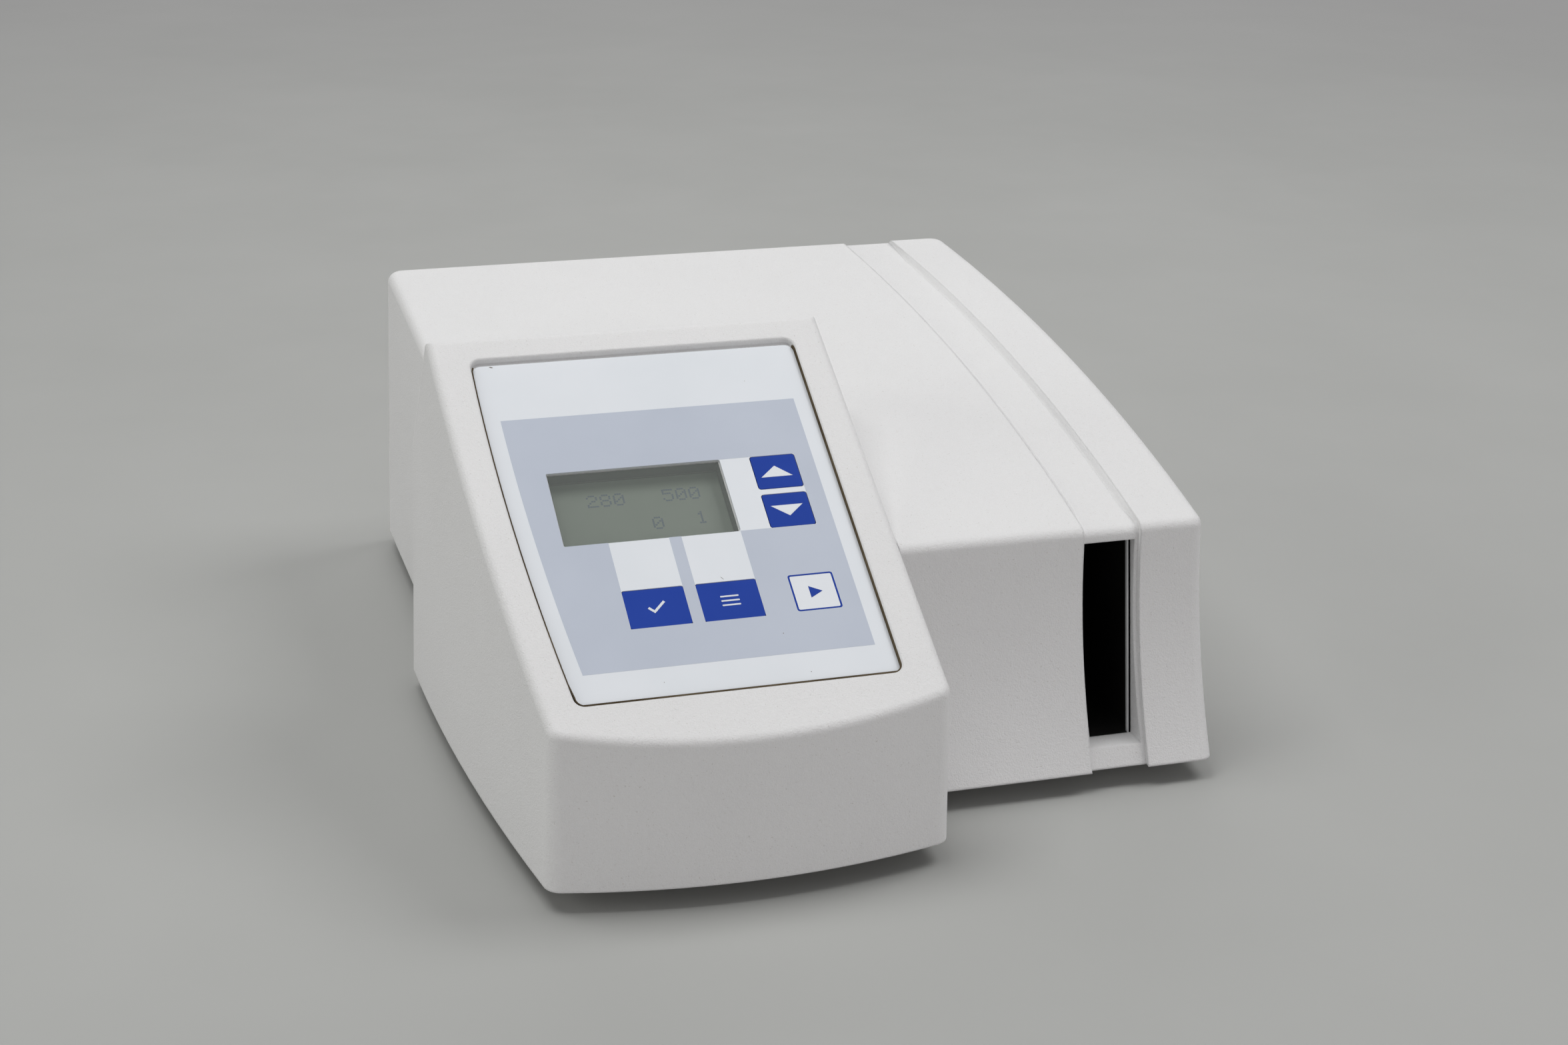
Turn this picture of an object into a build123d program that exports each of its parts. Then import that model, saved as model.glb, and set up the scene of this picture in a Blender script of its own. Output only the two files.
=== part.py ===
from build123d import *
import os
from math import asin, cos, radians, sin, sqrt, tan

os.makedirs("parts", exist_ok=True)

# A bench electroporator: a low main housing, a sloping console standing out at its
# front left, and a tall insert chute at its front right. Millimetres; origin on the
# table under the middle of the footprint, +X to the right, +Y to the rear, +Z up.

# ------------------------------------------------------------ housing sizes
main_width = 240.0         # main housing across its base
main_depth = 276.3         # foot of the front face to the rear wall
overhang_left = 12.5       # console standing out past the main housing's left wall
overhang_front = 39.7      # console standing out ahead of the main housing
base_z = 7.0               # lower edge of the shells above the table
front_height = 79.0        # main housing at its front edge, above base_z
rear_height = 107.6        # main housing at its rear edge, above base_z
front_flare = 20.3         # foot of the hollow front face ahead of its top edge
top_crown = 3.9            # rise of the arched top above its chord
right_bow = 5.3            # rise of the bowed right wall
wall = 2.5
draft = 1.5                # lean of the side walls, degrees
corner_r = 9.0             # rear upright corners of the main housing
top_edge_r = 3.5           # rounding round the top of the main housing
front_corner_r = 4.5       # upright corner between the front face and the right wall

pod_rim_right = 15.0       # console's foot out past the label's right edge
pod_depth = 177.7
pod_front_bow = 8.4        # rise of the bowed console front
pod_left_r = 1070.0        # plan radius of the console's left wall
pod_left_apex = 173.8      # widest point of that wall, from the console front
pod_corner_r = 6.0
pod_edge_r = 3.0
panel_slope = 29.2         # tilt of the console panel, degrees
panel_top = 60.2           # upper edge of the console above the display's upper corner
recess_depth = 1.5         # label surface below the console's rim
panel_wall = 2.0           # console wall under the label

# ------------------------------------------------------------ label, display, keys
# measured to the right of and down the slope from the display's upper left corner,
# which stands this far in from the console's left, front and base_z
display_at = (32.3, 97.7, 99.95)
display_w = 57.3
display_h = 29.9
right_of_display = 10.3    # the display's right edge to the arrow keys
below_display = 19.7       # its lower edge to the other keys
window_r = 0.8
display_ledge = 0.3        # console wall showing inside the display opening
label_t = 0.8
label_left = 15.8
label_right = display_w + 36.9
label_top = 47.9
label_bottom = display_h + 61.1
label_left_r = 950.0       # plan radius of the label's bowed left edge
label_left_apex = 30.0     # height on the slope where that edge stands furthest out
label_corner_r = 3.0
label_gap = 0.45           # recess beyond the label at its sides and bottom
label_gap_top = 1.8
rim_edge = 0.4             # broken edge round the recess
keys = {                   # left, top, width, height
    "set_key": (display_w - 43.1, display_h + below_display, 19.6, 14.6),
    "mode_key": (display_w - 19.5, display_h + below_display, 19.5, 14.6),
    "start_key": (display_w + right_of_display + 0.1, display_h + below_display - 0.1, 14.8, 14.4),
    "up_key": (display_w + right_of_display, 0.2, 14.9, 13.6),
    "down_key": (display_w + right_of_display, 16.4, 14.9, 13.5),
}
key_gap = 0.25
key_travel = 0.4
key_flange = 0.9           # retaining flange wider than the key, and its thickness
key_stem_r = 2.0
key_r = 0.8
switch_h = 3.2             # tactile switches on the key board
switch_w = 6.0
switch_button_r = 1.7
switch_button_h = 0.8
key_board_depth = 10.0     # face of the key board below the label surface
board_t = 1.6
display_depth = 6.0        # face of the display glass below the label surface

# ------------------------------------------------------------ insert chute
channel_right = 29.65      # channel's right side in from the right wall, at its ends
channel_bow = 5.3          # of the shallow channel along the top and down the front
channel_lean = 0.8         # lean of the channel's sides to the left, degrees
channel_depth = 1.8
channel_front_r = 3.0      # rounding where the channel turns down the front
slot_w = 18.1
slot_sill = 6.5            # sill above base_z
lintel_h = 5.5             # slot's head below the front edge of the top
slot_in_left = 2.0         # slot's sides in from the channel's, at its ends
slot_in_right = 0.2
mouth_depth = 6.6          # liner's mouth behind the front edge of the top, at that height
mouth_lean = 10.3          # lean of the flat mouth, foot forwards, degrees
chute_depth = 100.0        # foot of the front face to the contact block
liner_t = 1.5
slide_gap = 0.2            # round the fuse drawer and the rocker
strip_w = 0.5              # light strip inside the mouth
strip_t = 1.6
strip_gap = 0.6
pin_r = 2.4
pin_fit = 0.05
pin_reach = 5.0            # contact pins standing into the chute
pin_travel = 2.5
contact_block_t = 16.0

# ------------------------------------------------------------ base and internals
plate_t = 2.0
plate_gap = 0.3            # base plate to the shells' inner faces
plate_lift = 0.5           # base plate above the shells' lower edge
foot_r = 8.0
foot_edge_r = 1.5
post_r = 4.5
post_h = 26.0
post_inset = 6.3           # screw posts in from the outer walls
screw_r = 1.4
screw_hole_r = 1.5
screw_head_r = 2.8
screw_head_t = 1.6
socket_r = 1.0             # socket in a base screw's head
fit_gap = 0.15             # between neighbouring mouldings
tray_depth = 4.5           # rear panel floor behind its flange
tray_t = 1.5
tray_lip = 5.0             # rear panel flange beyond the opening
seat_gap = 0.05            # between the flange and the rear wall
standoff_h = 6.0
standoff_r = 3.0

# ------------------------------------------------------------ places
channel_w = slot_in_left + slot_w + slot_in_right
slot_h = front_height - slot_sill - lintel_h
pod_width = display_at[0] + label_right + pod_rim_right
total_width = main_width + overhang_left
total_depth = main_depth + overhang_front
main_left = -total_width / 2 + overhang_left
main_right = total_width / 2
back_y = total_depth / 2
front_y = back_y - main_depth
front_top_y = front_y + front_flare
top_front_z = base_z + front_height
top_back_z = base_z + rear_height
pod_left = -total_width / 2
pod_right = pod_left + pod_width
pod_front = -total_depth / 2
pod_back = pod_front + pod_depth
plate_z = base_z + plate_lift
plate_top = plate_z + plate_t
beyond = total_width + total_depth    # farther out than any part of the housing
past = 6.0                 # how far a cut starts outside the face that it opens

# hollow front face: a circle that stands upright at the top edge
front_r = (front_flare**2 + front_height**2) / (2 * front_flare)
# arched top: a circle through both of its ends
top_chord = sqrt((back_y - front_top_y) ** 2 + (top_back_z - top_front_z) ** 2)
top_r = (top_chord**2 / 4 + top_crown**2) / (2 * top_crown)
top_tilt = asin((top_back_z - top_front_z) / top_chord)
top_cy = (front_top_y + back_y) / 2 + sin(top_tilt) * (top_r - top_crown)
top_cz = (top_front_z + top_back_z) / 2 - cos(top_tilt) * (top_r - top_crown)

# the console panel: x to the right, y up the slope, z out of the face; its origin is
# the display's upper left corner, on the label surface
slope_sin = sin(radians(panel_slope))
slope_cos = cos(radians(panel_slope))
panel_y = pod_front + display_at[1]
panel_z = base_z + display_at[2]
panel = Plane(
    origin=(pod_left + display_at[0], panel_y, panel_z),
    x_dir=(1, 0, 0),
    z_dir=(0, -slope_sin, slope_cos),
)

# the rear wall's outer face, seen from behind: x to its right, y up, z outwards
rear = Plane(
    origin=(0, back_y, base_z),
    x_dir=(-1, 0, 0),
    z_dir=(0, cos(radians(draft)), sin(radians(draft))),
)


def front_line(z, inset=0.0):
    """Y of the hollow front face at height z."""
    return front_top_y - front_r + sqrt((front_r + inset) ** 2 - (top_front_z - z) ** 2)


def top_line(y, inset=0.0):
    """Height of the arched top at y."""
    return top_cz + sqrt((top_r - inset) ** 2 - (y - top_cy) ** 2)


def top_corner(front_inset, top_inset):
    """Where the front face and the top meet, both moved inwards."""
    y = front_top_y
    for _ in range(8):
        z = top_line(y, top_inset)
        y = front_line(z, front_inset)
    return y, z


def main_profile(inset=0.0, drop=0.0, top=None):
    """Side view of the main housing, moved inwards by inset, or by top at its top.

    Its footprint sets how far back it goes."""
    top = inset if top is None else top
    z0 = base_z - drop
    y_corner, z_corner = top_corner(inset, top)
    z_mid = (z0 + z_corner) / 2
    y_mid = (y_corner + back_y) / 2
    corner = (y_corner, z_corner)
    back_top = (back_y, top_line(back_y, top))
    with BuildSketch(Plane.YZ) as side:
        with BuildLine():
            Polyline((front_line(z0, inset), z0), (back_y, z0), back_top)
            ThreePointArc(back_top, (y_mid, top_line(y_mid, top)), corner)
            ThreePointArc(corner, (front_line(z_mid, inset), z_mid), (front_line(z0, inset), z0))
        make_face()
    return side.sketch


def main_plan(inset=0.0, drop=0.0):
    """Footprint of the main housing, square at the front and bowed at the right."""
    x0 = main_left + inset
    x1 = main_right - inset
    x_end = x1 - right_bow
    y0 = front_y - past
    y1 = back_y - inset
    with BuildSketch(Plane.XY.offset(base_z - drop)) as plan:
        with BuildLine():
            Polyline((x_end, y1), (x0, y1), (x0, y0), (x_end, y0))
            ThreePointArc((x_end, y0), (x1, (y0 + y1) / 2), (x_end, y1))
        make_face()
        fillet(plan.vertices().group_by(Axis.Y)[-1], max(corner_r - inset, 1.0))
    return plan.sketch


def main_right_x(y):
    """X of the bowed right wall at y, at its foot."""
    y_mid = (front_y - past + back_y) / 2
    return main_right - right_bow * ((y - y_mid) / (back_y - y_mid)) ** 2


def pod_left_x(y, inset=0.0):
    """X of the console's bowed left wall at y."""
    apex = pod_front + pod_left_apex
    return pod_left + pod_left_r - sqrt((pod_left_r - inset) ** 2 - (y - apex) ** 2)


def pod_plan(inset=0.0, drop=0.0):
    """Footprint of the console, bowed at the front and at the left."""
    y_side = pod_front + pod_front_bow + inset
    y_back = pod_back - inset
    x1 = pod_right - inset
    y_mid = (y_side + y_back) / 2
    front_left = (pod_left_x(y_side, inset), y_side)
    back_left = (pod_left_x(y_back, inset), y_back)
    with BuildSketch(Plane.XY.offset(base_z - drop)) as plan:
        with BuildLine():
            ThreePointArc(back_left, (pod_left_x(y_mid, inset), y_mid), front_left)
            ThreePointArc(front_left, ((front_left[0] + x1) / 2, pod_front + inset), (x1, y_side))
            Polyline((x1, y_side), (x1, y_back), back_left)
        make_face()
        fillet(plan.vertices().group_by(Axis.Y)[0], max(pod_corner_r - inset, 1.0))
        fillet(plan.vertices().group_by(Axis.Y)[-1], max(pod_corner_r / 2 - inset, 0.6))
    return plan.sketch


def pod_profile(inset=0.0, drop=0.0, roof=None):
    """Side view of the console; roof is the inset under the sloping panel."""
    roof = inset if roof is None else roof
    rim = recess_depth - roof
    top_y = panel_y + (panel_top - inset) * slope_cos - rim * slope_sin
    top_z = panel_z + (panel_top - inset) * slope_sin + rim * slope_cos
    y0 = pod_front - 20
    y1 = pod_back - inset
    z0 = base_z - drop
    shoulder_z = top_z - (y1 - top_y) * slope_cos / slope_sin
    front_z = top_z - (top_y - y0) * tan(radians(panel_slope))
    with BuildSketch(Plane.YZ) as side:
        with BuildLine():
            Polyline((y0, z0), (y1, z0), (y1, shoulder_z), (top_y, top_z), (y0, front_z), close=True)
        make_face()
    return side.sketch


def shell_form(plan, side):
    """A plan drawn up with draft, then kept within a side view."""
    extrude(plan, amount=top_back_z + pod_depth, taper=draft)
    extrude(side, amount=beyond, both=True, mode=Mode.INTERSECT)


def box_between(x0, x1, y0, y1, z0, z1, mode=Mode.ADD):
    with Locations(((x0 + x1) / 2, (y0 + y1) / 2, (z0 + z1) / 2)):
        Box(x1 - x0, y1 - y0, z1 - z0, mode=mode)


def upright(x, y, r, z0, z1, mode=Mode.ADD):
    with Locations((x, y, (z0 + z1) / 2)):
        Cylinder(r, z1 - z0, mode=mode)


def panel_box(left, top, w, h, low, high, r=0.0, mode=Mode.ADD):
    """A block on the console panel, from its upper left corner."""
    with BuildSketch(panel.offset(low)) as face:
        with Locations((left + w / 2, -top - h / 2)):
            if r > 0:
                RectangleRounded(w, h, r)
            else:
                Rectangle(w, h)
    extrude(face.sketch, amount=high - low, mode=mode)


def panel_window(left, top, w, h, grow, r=0.0):
    """Cuts an opening through the console's panel, wider than its size by grow all round."""
    panel_box(
        left - grow, top - grow, w + 2 * grow, h + 2 * grow,
        -display_depth, past, r=r + grow if r > 0 else 0.0, mode=Mode.SUBTRACT,
    )


def panel_disc(across, down, r, low, high, mode=Mode.ADD):
    with BuildSketch(panel.offset(low)) as face:
        with Locations((across, -down)):
            Circle(r)
    extrude(face.sketch, amount=high - low, mode=mode)


def label_block(side, above, low, high, mode=Mode.ADD):
    """The label's outline, grown by side and above: straight but for its left edge."""
    v0 = label_top + above
    v1 = -label_bottom - side
    v_mid = (v0 + v1) / 2
    u1 = label_right + side

    def left_edge(v):
        return label_left_r - sqrt(label_left_r**2 - (v - label_left_apex) ** 2) - label_left - side

    with BuildSketch(panel.offset(low)) as face:
        with BuildLine():
            ThreePointArc((left_edge(v0), v0), (left_edge(v_mid), v_mid), (left_edge(v1), v1))
            Polyline((left_edge(v1), v1), (u1, v1), (u1, v0), (left_edge(v0), v0))
        make_face()
        fillet(face.vertices(), label_corner_r + side)
    extrude(face.sketch, amount=high - low, mode=mode)


def rear_box(across, up, w, h, low, high, r=0.0, mode=Mode.ADD):
    """A block on the rear wall, centred."""
    with BuildSketch(rear.offset(low)) as face:
        with Locations((across, up)):
            if r > 0:
                RectangleRounded(w, h, r)
            else:
                Rectangle(w, h)
    extrude(face.sketch, amount=high - low, mode=mode)


def rear_disc(across, up, r, low, high, mode=Mode.ADD):
    with BuildSketch(rear.offset(low)) as face:
        with Locations((across, up)):
            Circle(r)
    extrude(face.sketch, amount=high - low, mode=mode)


def save(builder, name):
    builder.part.label = name
    export_step(builder.part, f"parts/{name}.step")


# ------------------------------------------------------------ forms cut from the shells
with BuildPart() as main_inside:
    shell_form(main_plan(wall, 1), main_profile(wall + channel_depth, 1))

with BuildPart() as pod_inside:
    shell_form(pod_plan(wall, 1), pod_profile(wall, 1, roof=recess_depth + label_t + panel_wall))

with BuildPart() as pod_clear:
    shell_form(pod_plan(-fit_gap, 1), pod_profile(-fit_gap, 1))

with BuildPart() as channel_core:
    extrude(main_profile(channel_depth, past), amount=beyond, both=True)
    top_edge = Vector(0, front_top_y, top_front_z)
    across = channel_core.edges().filter_by(Axis.X)
    fillet(across.sort_by(lambda e: (e.center() - top_edge).length)[0], channel_front_r)

channel_x1 = main_right - channel_right
channel_x0 = channel_x1 - channel_w
with BuildPart() as channel_form:
    with BuildSketch(Plane.XY.offset(base_z - 1)):
        with BuildLine():
            y_front = front_y - 2 * past
            y_rear = back_y + 2 * past
            Line((channel_x0, y_front), (channel_x1, y_front))
            ThreePointArc((channel_x1, y_front), (channel_x1 + channel_bow, 0), (channel_x1, y_rear))
            Line((channel_x1, y_rear), (channel_x0, y_rear))
            ThreePointArc((channel_x0, y_rear), (channel_x0 + channel_bow, 0), (channel_x0, y_front))
        make_face()
    lean = radians(channel_lean)
    extrude(amount=top_back_z, dir=(-sin(lean), 0, cos(lean)))
    add(channel_core.part, mode=Mode.SUBTRACT)

# ------------------------------------------------------------ chute places
slot_x0 = channel_x0 + slot_in_left
slot_x1 = slot_x0 + slot_w
slot_x = (slot_x0 + slot_x1) / 2
slot_z0 = base_z + slot_sill
slot_z1 = slot_z0 + slot_h
block_x0 = slot_x0 - liner_t
block_x1 = slot_x1 + liner_t
block_z0 = slot_z0 - liner_t
block_z1 = slot_z1 + liner_t
chute_back = front_y + chute_depth


def mouth_y(z):
    """Y of the liner's flat, leaning mouth at height z."""
    return front_top_y + mouth_depth - (top_front_z - z) * tan(radians(mouth_lean))


def behind_mouth(further=0.0):
    """Side view of all that lies behind the mouth, or further back."""
    low = (mouth_y(0) + further, 0)
    high = (mouth_y(top_back_z) + further, top_back_z)
    with BuildSketch(Plane.YZ) as side:
        with BuildLine():
            Polyline(low, (back_y, 0), (back_y, top_back_z), high, close=True)
        make_face()
    return side.sketch


# ------------------------------------------------------------ main cover
opening_x = (main_left + 30, main_right - 42)
opening_foot = 12.0        # rear opening above base_z
opening_h = 50.0
opening_w = opening_x[1] - opening_x[0]
opening_across = -(opening_x[0] + opening_x[1]) / 2
opening_up = opening_foot + opening_h / 2
opening_r = 3.0
post_hole_h = post_h * 0.6
rear_screws = [
    (opening_across + side * (opening_w / 2 + 6), opening_up + row * opening_h * 0.36)
    for side in (-1, 1)
    for row in (-1, 1)
]
main_posts = [
    (main_left + post_inset, back_y - 34),
    (main_left + post_inset, pod_back + 16),
    (main_right_x(back_y - 34) - post_inset, back_y - 34),
    (main_right_x(front_y + 42) - post_inset, front_y + 42),
]
pod_posts = [
    (pod_left_x(pod_front + 24) + post_inset, pod_front + 24),
    (pod_right - post_inset, pod_front + 24),
]

# solid round the slot, from the channel's floor back to the liner's mouth
with BuildPart() as mouth_surround:
    box_between(block_x0, block_x1, front_y, chute_back, base_z, block_z1)
    add(channel_core.part, mode=Mode.INTERSECT)
    extrude(behind_mouth(), amount=beyond, both=True, mode=Mode.SUBTRACT)

with BuildPart() as liner_clear:
    box_between(
        block_x0 - fit_gap, block_x1 + fit_gap, front_y, chute_back,
        block_z0 - fit_gap, block_z1 + fit_gap,
    )
    extrude(behind_mouth(), amount=beyond, both=True, mode=Mode.INTERSECT)

with BuildPart() as main_cover:
    shell_form(main_plan(), main_profile())
    right_front = main_cover.edges().filter_by(lambda e: e.center().Y < front_top_y)
    right_front = right_front.filter_by(lambda e: e.center().X > slot_x1)
    fillet([e for e in right_front if e.length > front_height * 0.8], front_corner_r)
    crown = main_cover.edges().filter_by(lambda e: e.center().Z > top_front_z - past)
    fillet(crown.filter_by(lambda e: e.length > past), top_edge_r)
    add(channel_form.part, mode=Mode.SUBTRACT)
    add(main_inside.part, mode=Mode.SUBTRACT)
    add(mouth_surround.part)
    add(liner_clear.part, mode=Mode.SUBTRACT)
    box_between(slot_x0, slot_x1, front_y - past, back_y / 2, slot_z0, slot_z1, mode=Mode.SUBTRACT)
    for post_x, post_y in main_posts:
        upright(post_x, post_y, post_r, plate_top, plate_top + post_h)
        upright(post_x, post_y, screw_hole_r, plate_z, plate_top + post_hole_h, mode=Mode.SUBTRACT)
    add(pod_clear.part, mode=Mode.SUBTRACT)
    # rear opening, and counterbored holes for its panel's screws
    rear_box(
        opening_across, opening_up, opening_w, opening_h,
        -3 * wall, wall, r=opening_r, mode=Mode.SUBTRACT,
    )
    for across, up in rear_screws:
        rear_disc(across, up, screw_hole_r, -2 * wall, wall, mode=Mode.SUBTRACT)
        rear_disc(across, up, screw_head_r + fit_gap, -screw_head_t, wall, mode=Mode.SUBTRACT)
save(main_cover, "main_cover")

# ------------------------------------------------------------ console housing
with BuildPart() as seat_clear:
    shell_form(main_plan(wall), main_profile(wall + channel_depth))
    box_between(
        -beyond, beyond, -beyond, beyond,
        plate_top + fit_gap, 2 * top_back_z, mode=Mode.SUBTRACT,
    )

with BuildPart() as console_housing:
    shell_form(pod_plan(), pod_profile())
    rim = [f for f in console_housing.faces() if abs(f.normal_at().Z - slope_cos) < 0.01]
    fillet(rim[0].edges(), pod_edge_r)
    add(pod_inside.part, mode=Mode.SUBTRACT)
    for post_x, post_y in pod_posts:
        upright(post_x, post_y, post_r, plate_top, plate_top + post_h)
        upright(post_x, post_y, screw_hole_r, plate_z, plate_top + post_hole_h, mode=Mode.SUBTRACT)
    add(seat_clear.part, mode=Mode.SUBTRACT)
    # sunk seat for the label, then the openings through it
    label_block(label_gap, label_gap_top, -label_t, past, mode=Mode.SUBTRACT)
    slopes = console_housing.faces().filter_by(lambda f: abs(f.normal_at().Z - slope_cos) < 0.01)
    rim_face = slopes.sort_by(lambda f: (f.center() - panel.origin).dot(panel.z_dir))[-1]
    chamfer(rim_face.inner_wires()[0].edges(), rim_edge)
    panel_window(0, 0, display_w, display_h, -display_ledge, 0)
    for place in keys.values():
        panel_window(*place, key_gap, key_r)
save(console_housing, "console_housing")

# ------------------------------------------------------------ label and display window
with BuildPart() as front_label:
    label_block(0, 0, -label_t, 0)
    panel_window(0, 0, display_w, display_h, fit_gap, window_r)
    for place in keys.values():
        panel_window(*place, key_gap, key_r)
save(front_label, "front_label")

with BuildPart() as display_window:
    panel_box(0, 0, display_w, display_h, -label_t, 0, r=window_r)
save(display_window, "display_window")

# ------------------------------------------------------------ keys
flange_top = -label_t - panel_wall - key_gap
flange_low = flange_top - key_flange
switch_top = -key_board_depth + switch_h
stem_low = switch_top + key_travel + key_gap
for name, (left, top, w, h) in keys.items():
    with BuildPart() as key:
        panel_box(left, top, w, h, flange_low, 0, r=key_r)
        panel_box(
            left - key_flange, top - key_flange, w + 2 * key_flange, h + 2 * key_flange,
            flange_low, flange_top, r=key_r,
        )
        panel_disc(left + w / 2, top + h / 2, key_stem_r, stem_low, flange_low)
    save(key, name)

# ------------------------------------------------------------ display and key board
board_left = -6.0
board_top = -5.0
board_w = display_w + 37.5
board_h = display_h + 44.1
pillar_down = display_h + 36.6
pillar_places = [(-3.0, pillar_down), (display_w + 28.5, pillar_down), (display_w + 6.5, 8.0)]
pillar_r = 2.4
with BuildPart() as key_board:
    panel_box(board_left, board_top, board_w, board_h, -key_board_depth - board_t, -key_board_depth)
    for across, down in pillar_places:
        panel_disc(across, down, screw_hole_r, -2 * key_board_depth, 0, mode=Mode.SUBTRACT)
save(key_board, "key_board")

for name, (left, top, w, h) in keys.items():
    with BuildPart() as switch:
        panel_box(
            left + (w - switch_w) / 2, top + (h - switch_w) / 2, switch_w, switch_w,
            -key_board_depth, switch_top - switch_button_h,
        )
        panel_disc(
            left + w / 2, top + h / 2, switch_button_r, switch_top - switch_button_h, switch_top,
        )
    save(switch, name.replace("key", "switch"))

metal_edge = 3.5           # display's metal frame beyond its glass
metal_t = 1.0
with BuildPart() as display_frame:
    panel_box(
        -metal_edge, -metal_edge, display_w + 2 * metal_edge, display_h + 2 * metal_edge,
        -key_board_depth, -display_depth + metal_t,
    )
    panel_box(0, 0, display_w, display_h, -key_board_depth + metal_t, 0, mode=Mode.SUBTRACT)
save(display_frame, "display_frame")

with BuildPart() as display_glass:
    panel_box(
        fit_gap, fit_gap, display_w - 2 * fit_gap, display_h - 2 * fit_gap,
        -key_board_depth + metal_t, -display_depth,
    )
save(display_glass, "display_glass")

# pillars from the console wall, with nuts behind, hold the key board
with BuildPart() as board_pillars:
    for across, down in pillar_places:
        panel_disc(across, down, pillar_r, -key_board_depth, -label_t - panel_wall)
        panel_disc(across, down, screw_r, -key_board_depth - board_t, -key_board_depth)
        panel_disc(across, down, pillar_r, -key_board_depth - 2 * board_t, -key_board_depth - board_t)
save(board_pillars, "board_pillars")

# ------------------------------------------------------------ chute liner
with BuildPart() as chute_liner:
    box_between(block_x0, block_x1, front_y, chute_back, block_z0, block_z1)
    extrude(behind_mouth(), amount=beyond, both=True, mode=Mode.INTERSECT)
    box_between(slot_x0, slot_x1, front_y - past, back_y, slot_z0, slot_z1, mode=Mode.SUBTRACT)
save(chute_liner, "chute_liner")

# a light strip down the liner's right wall, just inside its mouth
with BuildPart() as guide_strip:
    strip_x = slot_x1 - strip_gap
    box_between(strip_x - strip_w, strip_x, front_y, chute_back, slot_z0, slot_z1)
    extrude(behind_mouth(), amount=beyond, both=True, mode=Mode.INTERSECT)
    extrude(behind_mouth(strip_t), amount=beyond, both=True, mode=Mode.SUBTRACT)
save(guide_strip, "guide_strip")

# ------------------------------------------------------------ contact block and its pins
block_back = chute_back + contact_block_t
pin_heights = {"lower_pin": slot_z0 + slot_h * 0.36, "upper_pin": slot_z0 + slot_h * 0.68}
plunger_z = slot_z0 + 6.0
plunger_r = 1.8
plunger_tail = 0.6         # plunger standing out behind the block
pin_length = pin_reach + contact_block_t * 0.6


def along_y(x, z, r, y0, y1, mode=Mode.ADD):
    """A rod running from front to rear."""
    with Locations(Pos(x, (y0 + y1) / 2, z) * Rot(90, 0, 0)):
        Cylinder(r, y1 - y0, mode=mode)


with BuildPart() as contact_block:
    box_between(block_x0, block_x1, chute_back, block_back, block_z0, block_z1)
    for z in pin_heights.values():
        along_y(slot_x, z, pin_r + pin_fit, chute_back - 1, block_back - liner_t, mode=Mode.SUBTRACT)
    along_y(slot_x, plunger_z, plunger_r + pin_fit, chute_back - 1, block_back + 1, mode=Mode.SUBTRACT)
save(contact_block, "contact_block")

for name, z in pin_heights.items():
    with BuildPart() as pin:
        along_y(slot_x, z, pin_r, chute_back - pin_reach, chute_back - pin_reach + pin_length)
        fillet(pin.edges().group_by(Axis.Y)[0], pin_r * 0.9)
    save(pin, name)

with BuildPart() as insert_plunger:
    along_y(slot_x, plunger_z, plunger_r, chute_back - pin_reach, block_back + plunger_tail)
    fillet(insert_plunger.edges().group_by(Axis.Y)[0], plunger_r * 0.7)
save(insert_plunger, "insert_plunger")

# the switch that the plunger works stands off the block on its own bracket
plunger_switch_y = block_back + plunger_tail + pin_travel + 0.8
plunger_switch_t = 9.0
with BuildPart() as insert_switch:
    box_between(
        block_x0, block_x1, plunger_switch_y, plunger_switch_y + plunger_switch_t,
        plate_top + fit_gap, plunger_z + 6,
    )
save(insert_switch, "insert_switch")

# ------------------------------------------------------------ base plate, feet and screws
with BuildPart() as pod_floor:
    shell_form(pod_plan(wall + plate_gap), pod_profile(wall + plate_gap))

with BuildPart() as base_plate:
    shell_form(main_plan(wall + plate_gap), main_profile(wall + channel_depth + plate_gap))
    add(pod_floor.part)
    box_between(-beyond, beyond, -beyond, beyond, 0, plate_z, mode=Mode.SUBTRACT)
    box_between(-beyond, beyond, -beyond, beyond, plate_top, 2 * top_back_z, mode=Mode.SUBTRACT)
    box_between(
        block_x0 - plate_gap, block_x1 + plate_gap, -beyond, mouth_y(plate_top) + plate_gap,
        0, top_back_z, mode=Mode.SUBTRACT,
    )
    for post_x, post_y in main_posts + pod_posts:
        upright(post_x, post_y, screw_hole_r, 0, 2 * plate_top, mode=Mode.SUBTRACT)
save(base_plate, "base_plate")

feet = [
    (pod_left + 32, pod_front + 32),
    (main_right - 34, front_y + 28),
    (main_left + 24, back_y - 26),
    (main_right - 34, back_y - 26),
]
for number, (foot_x, foot_y) in enumerate(feet, start=1):
    with BuildPart() as foot:
        upright(foot_x, foot_y, foot_r, 0, plate_z)
        fillet(foot.edges().group_by(Axis.Z)[0], foot_edge_r)
    save(foot, f"rubber_foot_{number}")

with BuildPart() as base_screws:
    for post_x, post_y in main_posts + pod_posts:
        upright(post_x, post_y, screw_r, plate_z, plate_top + post_h * 0.45)
        upright(post_x, post_y, screw_head_r, plate_z - screw_head_t, plate_z)
        upright(post_x, post_y, socket_r, 0, plate_z - screw_head_t / 2, mode=Mode.SUBTRACT)
save(base_screws, "base_screws")

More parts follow.
